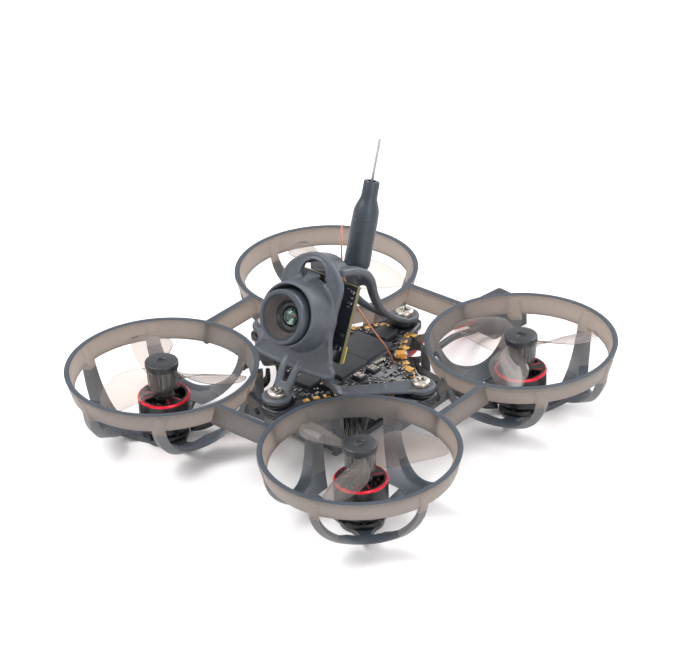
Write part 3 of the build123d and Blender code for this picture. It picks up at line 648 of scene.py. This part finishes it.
# ---------------------------------------------------------------- lens
droop = axis @ Matrix.Rotation(math.radians(2.3), 4, "X")
bm = bmesh.new()
lathe(bm, [(3.55, 2.5), (3.55, 6.4), (4.7, 6.4), (4.84, 6.6), (4.86, 10.7), (4.80, 10.95), (4.64, 11.14),
           (4.40, 11.20), (4.12, 11.16), (4.02, 11.02), (3.98, 10.86), (3.93, 10.86), (3.90, 10.98),
           (3.84, 10.98), (3.80, 10.84)], droop, 96, 0)
lathe(bm, [(3.80, 10.84), (3.72, 10.5), (3.30, 9.4), (2.90, 8.75)], droop, 96, 1)
lathe(bm, [(2.90, 8.75), (2.84, 8.66), (2.72, 8.7), (2.4, 8.3), (1.86, 8.15), (1.74, 7.6)], droop, 96, 2)
lathe(bm, [(1.74, 7.6), (1.3, 7.5), (0.95, 7.45), (0.9, 7.3), (0.24, 7.2)], droop, 64, 3)
lathe(bm, [(0.24, 7.2), (0.2, 7.3), (0.0, 7.33)], droop, 32, 4)
barrel = finish_mesh("lens_housing", bm, "airframe", ["bezel", "cone", "lens", "iris", "red"])
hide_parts("lens_barrel")
bm = bmesh.new()
glass_r, glass_rise = 1.70, 1.35
dome = [(glass_r, 7.65)]
for a in range(0, 90, 9):
    dome.append((glass_r * math.cos(math.radians(a)), 7.75 + glass_rise * math.sin(math.radians(a))))
lathe(bm, dome + [(0.0, 7.75 + glass_rise)], droop)
lathe(bm, [(0.0, 7.62), (glass_r, 7.65)], droop)
lens = finish_mesh("lens_dome", bm, "airframe", ["glass"])
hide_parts("front_lens")

# camera board: bare glass-fibre edges, parts on its front, tape behind a lower corner
EDGE_MAT, SOLDER_MAT, GOLD_MAT, CHIP_MAT, TAPE_MAT = range(5)
CAMERA_PARTS = (  # across, up, width, height, material
    (6.2, 5.9, 0.9, 0.5, SOLDER_MAT), (5.3, 6.2, 0.5, 0.3, SOLDER_MAT), (6.3, 4.9, 0.5, 0.3, SOLDER_MAT),
    (6.2, 3.9, 0.8, 0.4, SOLDER_MAT), (5.9, 3.2, 0.4, 0.3, SOLDER_MAT), (6.4, -4.4, 0.4, 0.8, SOLDER_MAT),
    (5.4, -4.4, 0.4, 0.8, SOLDER_MAT), (-5.9, 5.2, 0.5, 0.9, SOLDER_MAT), (-2.6, 6.3, 2.6, 0.5, GOLD_MAT),
    (0.4, 6.1, 0.9, 0.7, CHIP_MAT), (2.0, 6.2, 0.5, 0.5, SOLDER_MAT), (-6.0, 1.0, 0.9, 1.6, CHIP_MAT),
    (-5.9, -3.0, 0.8, 1.2, CHIP_MAT), (6.0, -2.0, 1.0, 0.6, CHIP_MAT),
)
bm = bmesh.new()
for side in (-1, 1):
    cuboid(bm, (side * 7.0, 0, 0), (0.10, 14.04, 0.84), axis, mat=EDGE_MAT)
    cuboid(bm, (0, side * 7.0, 0), (14.04, 0.10, 0.84), axis, mat=EDGE_MAT)
for x, t, w, h, mat in CAMERA_PARTS:
    cuboid(bm, (x, t, 0.55), (w, h, 0.34), axis, soft=0.04, mat=mat)
cuboid(bm, (5.2, -6.7, -0.6), (3.2, 0.7, 0.10), axis, soft=0.03, mat=TAPE_MAT)
cuboid(bm, (6.95, -5.4, -0.62), (0.28, 3.0, 0.24), axis, soft=0.05, mat=TAPE_MAT)
lathe(bm, [(0, 0), (1.0, 0), (1.05, 0.05), (1.05, 1.5), (0.95, 1.62), (0, 1.62)],
      axis @ Matrix.Translation((5.1, -5.9, 0.45)), 32, CHIP_MAT)
finish_mesh("camera_board_parts", bm, "airframe", ["edge", "solder", "gold", "chip", "tape"])

# ---------------------------------------------------------------- screws, grommets, sleeve, aerial
bm = bmesh.new()
for x, y in MOUNTS:
    place = Matrix.Translation((x, y, DECK)) @ Matrix.Rotation(math.radians(28 + 9 * x + 5 * y), 4, "Z")
    lathe(bm, [(0.0, -6.5), (0.65, -6.5), (0.65, -0.08), (1.62, -0.08), (1.72, 0.02), (1.72, 0.34),
               (1.60, 0.62), (1.25, 0.80), (0.75, 0.86), (0.62, 0.80), (0.42, 0.42), (0.0, 0.38)], place)
    for k in range(4):
        cross = place @ Matrix.Rotation(math.radians(90 * k), 4, "Z")
        cuboid(bm, (0.62, 0, 0.80), (0.72, 0.26, 0.14), cross, soft=0.02, mat=1)
heads = finish_mesh("board_screw_heads", bm, "airframe", ["nickel", "core"])
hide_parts("board_screws")
bm = bmesh.new()
for x, y in MOUNTS:
    lathe(bm, [(0.75, -2.9), (0.75, -1.12), (2.2, -1.12), (2.42, -1.2), (2.5, -1.4), (2.5, -1.75),
               (2.38, -1.95), (1.55, -1.98), (1.55, -2.92), (2.38, -2.95), (2.5, -3.15), (2.5, -3.6),
               (2.35, -3.85), (0.75, -3.88), (0.75, -2.9)], Matrix.Translation((x, y, DECK)))
grommets = finish_mesh("rubber_grommets", bm, "airframe", ["grommet"])
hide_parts("board_grommets")
bm = bmesh.new()
lathe(bm, [(0.75, -5.0), (1.3, -5.0), (1.3, -0.5), (1.9, -0.25), (2.22, 0.0), (2.34, 0.35), (2.36, 1.2),
           (2.33, 4.0), (2.37, 7.0), (2.33, 9.6), (2.26, 10.3), (2.0, 11.2), (1.72, 11.9), (1.55, 12.4),
           (1.47, 13.2), (1.45, 15.4), (1.36, 15.58), (0.75, 15.6)], mast, 72)
# light scratches on the sleeve
random.seed(3)
for k in range(26):
    a, h = random.uniform(0, 2 * math.pi), random.uniform(0.8, 9.2)
    scuff = mast @ Matrix.Rotation(a, 4, "Z") @ Matrix.Translation((2.345, 0, h)) @ Matrix.Rotation(
        random.uniform(-0.6, 0.6) + math.pi / 2, 4, "X")
    cuboid(bm, (0, 0, 0), (0.035, random.uniform(0.02, 0.04), random.uniform(0.5, 1.6)), scuff, mat=1)
tube = finish_mesh("sleeve_tube", bm, "airframe", ["sleeve", "scuff"])
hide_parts("antenna_sleeve")
aerial = [(7.6, 5.2, DECK - 1.95), (7.3, 4.75, DECK + 0.4), (5.6, 3.2, DECK + 4.0), (3.6, 1.6, DECK + 8.2),
          (2.0, 0.5, DECK + 12.2), (1.0, -0.2, DECK + 16.0), (0.5, 0.1, DECK + 20.0),
          (0.25, 0.7, DECK + 24.0), (0.2, 0.9, DECK + 25.6)]
wire("receiver_wire", aerial, 0.16, "airframe", "aerial", ["receiver_antenna"])

# ---------------------------------------------------------------- small parts on the flight board
random.seed(7)
TAKEN = [  # x0, x1, y0, y1 already covered by the larger packages and feet
    (-4.0, 4.0, 2.2, 9.3), (-4.0, 4.2, -5.2, 2.0), (-1.9, 1.9, 10.3, 13.6), (5.4, 7.5, -0.1, 2.0),
    (5.2, 7.2, -3.6, -1.9), (-11.0, -7.4, -2.0, 2.0), (-6.9, -5.0, 4.0, 6.5), (-2.0, 1.6, -11.2, -7.8),
    (3.0, 5.0, -9.0, -6.4), (5.8, 8.6, 6.4, 9.2), (-7.6, -5.6, 6.6, 8.6), (4.7, 5.6, 1.9, 5.4),
]
SMALL = {  # size of the part, and the material that about a third of its kind have
    "ceramic": ((0.8, 0.42, 0.36), 0), "resistor": ((0.8, 0.42, 0.24), 1), "tiny": ((0.55, 0.28, 0.24), 0),
    "diode": ((1.1, 0.7, 0.45), 1), "switch": ((1.1, 1.1, 0.42), 1),
}


BOARD_ARC = 20.5  # radius of the board's hollow sides about the motors
KINDS = ["ceramic"] * 2 + ["resistor"] * 2 + ["tiny"] * 3 + ["diode", "switch"]


def on_board(x, y, margin):
    """True where the flight board is, clear of its edge and its mounts."""
    for cx, cy, _, _, _ in DUCTS.values():
        if math.hypot(x - cx, y - cy) < BOARD_ARC + margin:
            return False
    return max(abs(x), abs(y)) < 15.2


def free(x, y, w, h, used):
    """True where a part of this width and depth stands clear of the others."""
    for x0, x1, y0, y1 in TAKEN + used:
        beside = x + w / 2 <= x0 - 0.18 or x - w / 2 >= x1 + 0.18
        beyond = y + h / 2 <= y0 - 0.18 or y - h / 2 >= y1 + 0.18
        if not beside and not beyond:
            return False
    return True


bm = bmesh.new()
used = []
for _ in range(2600):
    x, y = random.uniform(-15, 15), random.uniform(-15, 15)
    kind = random.choice(KINDS)
    (w, d, h), mat = SMALL[kind]
    turn = random.choice([0, 90]) if random.random() < 0.75 else random.choice([45, 135])
    ww, dd = (d, w) if turn == 90 else (w, d)
    if turn in (45, 135):
        ww = dd = (w + d) * 0.71
    if not on_board(x, y, 0.9) or not free(x, y, ww, dd, used):
        continue
    used.append((x - ww / 2, x + ww / 2, y - dd / 2, y + dd / 2))
    spin = Matrix.Translation((x, y, BOARD_TOP)) @ Matrix.Rotation(math.radians(turn), 4, "Z")
    two_ends = kind in ("ceramic", "resistor", "tiny")
    body = w * (0.52 if two_ends else 0.86)
    cuboid(bm, (0, 0, h / 2), (body, d, h), spin, soft=0.03, mat=mat if random.random() > 0.65 else 1)
    if two_ends:
        for side in (-1, 1):
            cuboid(bm, (side * w * 0.38, 0, h / 2 - 0.01), (w * 0.24, d * 1.02, h), spin, soft=0.03, mat=2)
    else:
        for side in (-1, 1):
            for row in (-1, 1):
                cuboid(bm, (side * w * 0.5, row * d * 0.28, 0.08), (0.28, 0.2, 0.14), spin, soft=0.02, mat=2)
finish_mesh("board_small_parts", bm, "airframe", ["tan", "chip", "solder"])

# filter capacitor and the metal cans
bm = bmesh.new()
spin = Matrix.Translation((7.1, 7.9, BOARD_TOP)) @ Matrix.Rotation(math.radians(45), 4, "Z")
cuboid(bm, (0, 0, 0.45), (1.7, 1.5, 0.85), spin, soft=0.07, mat=0)
for side in (-1, 1):
    cuboid(bm, (side * 1.02, 0, 0.35), (0.36, 1.3, 0.66), spin, soft=0.04, mat=1)
tantalum = finish_mesh("filter_block", bm, "airframe", ["capacitor", "solder"])
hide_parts("filter_capacitor")
bm = bmesh.new()
cuboid(bm, (5.6, 3.7, BOARD_TOP + 0.35), (0.7, 2.8, 0.6), soft=0.06, mat=0)
cuboid(bm, (6.2, -2.75, BOARD_TOP + 0.84), (1.7, 1.4, 0.14), soft=0.05, mat=0)
cuboid(bm, (6.45, 0.95, BOARD_TOP + 0.73), (1.5, 1.5, 0.10), soft=0.04, mat=0)
finish_mesh("board_metal_cans", bm, "airframe", ["nickel"])

# pins of the two large packages, plated pads and solder
bm = bmesh.new()
for x0, x1, y0, y1 in TAKEN[:2]:
    count = 18
    for k in range(count):
        y = y0 + 0.35 + (y1 - y0 - 0.7) * k / (count - 1)
        for x in (x0 - 0.12, x1 + 0.12):
            cuboid(bm, (x, y, BOARD_TOP + 0.06), (0.42, 0.18, 0.1), soft=0.02, mat=0)
    for k in range(count):
        x = x0 + 0.35 + (x1 - x0 - 0.7) * k / (count - 1)
        for y in (y0 - 0.02, y1 + 0.02):
            cuboid(bm, (x, y, BOARD_TOP + 0.06), (0.18, 0.3, 0.1), soft=0.02, mat=0)
PADS = [(-2.3, 15.0, 1.9, 1.1), (4.0, 15.2, 1.9, 1.0), (6.0, 10.7, 1.2, 1.2), (10.9, 5.2, 2.1, 1.5),
        (13.0, 3.5, 1.3, 1.0), (9.4, 6.6, 1.2, 0.9), (-10.9, 5.2, 1.9, 1.3), (-6.0, 10.7, 1.3, 1.1)]
for x, y, w, d in PADS:
    cuboid(bm, (x, y, BOARD_TOP + 0.05), (w, d, 0.12), soft=0.04, mat=1)
for cx, cy, outward, _, _ in DUCTS.values():
    for k in range(-4, 5):
        a = math.radians(outward + 180 + k * 5.2)
        r = BOARD_ARC + 0.9
        x, y = cx + r * math.cos(a), cy + r * math.sin(a)
        spin = Matrix.Translation((x, y, BOARD_TOP + 0.05)) @ Matrix.Rotation(a, 4, "Z")
        cuboid(bm, (0, 0, 0), (1.1, 1.15, 0.13), spin, soft=0.04, mat=1)
finish_mesh("board_pads", bm, "airframe", ["solder", "gold"])

# olive edge of the board, where its glass core shows
bm = bmesh.new()
low = BOARD_TOP - 0.9
for cx, cy, outward, _, _ in DUCTS.values():
    rows = []
    for k in range(-22, 23):
        a = math.radians(outward + 180 + k)
        r = BOARD_ARC - 0.03
        rows.append([bm.verts.new((cx + r * math.cos(a), cy + r * math.sin(a), z))
                     for z in (low + 0.12, BOARD_TOP - 0.12)])
    for a, b in zip(rows, rows[1:]):
        bm.faces.new((a[0], b[0], b[1], a[1]))
finish_mesh("board_edge", bm, "airframe", ["edge"])

# ---------------------------------------------------------------- floor and light
bm = bmesh.new()
bmesh.ops.create_grid(bm, x_segments=1, y_segments=1, size=3000)
bmesh.ops.scale(bm, vec=(MM, MM, MM), verts=bm.verts)
mesh = bpy.data.meshes.new("floor")
bm.to_mesh(mesh)
bm.free()
mesh.materials.append(M["white"])
floor = bpy.data.objects.new("floor", mesh)
scene.collection.objects.link(floor)

scene.view_settings.view_transform = "Standard"
world = bpy.data.worlds.new("studio")
scene.world = world
world.use_nodes = True
world.node_tree.nodes["Background"].inputs["Color"].default_value = (1.0, 0.99, 0.995, 1)
world.node_tree.nodes["Background"].inputs["Strength"].default_value = 0.85


def softbox(name, place, power, size):
    """A rectangular light that faces the drone."""
    light = bpy.data.lights.new(name, "AREA")
    light.shape = "RECTANGLE"
    light.size, light.size_y = size
    light.energy = power
    lamp = bpy.data.objects.new(name, light)
    lamp.location = place
    lamp.rotation_euler = (-Vector(place)).to_track_quat("-Z", "Y").to_euler()
    scene.collection.objects.link(lamp)


softbox("key", (-0.35, -0.25, 0.62), 5.0, (0.5, 0.5))
softbox("rear", (0.15, 0.65, 0.45), 4.0, (0.7, 0.4))
softbox("side", (0.6, -0.2, 0.35), 2.0, (0.3, 0.5))
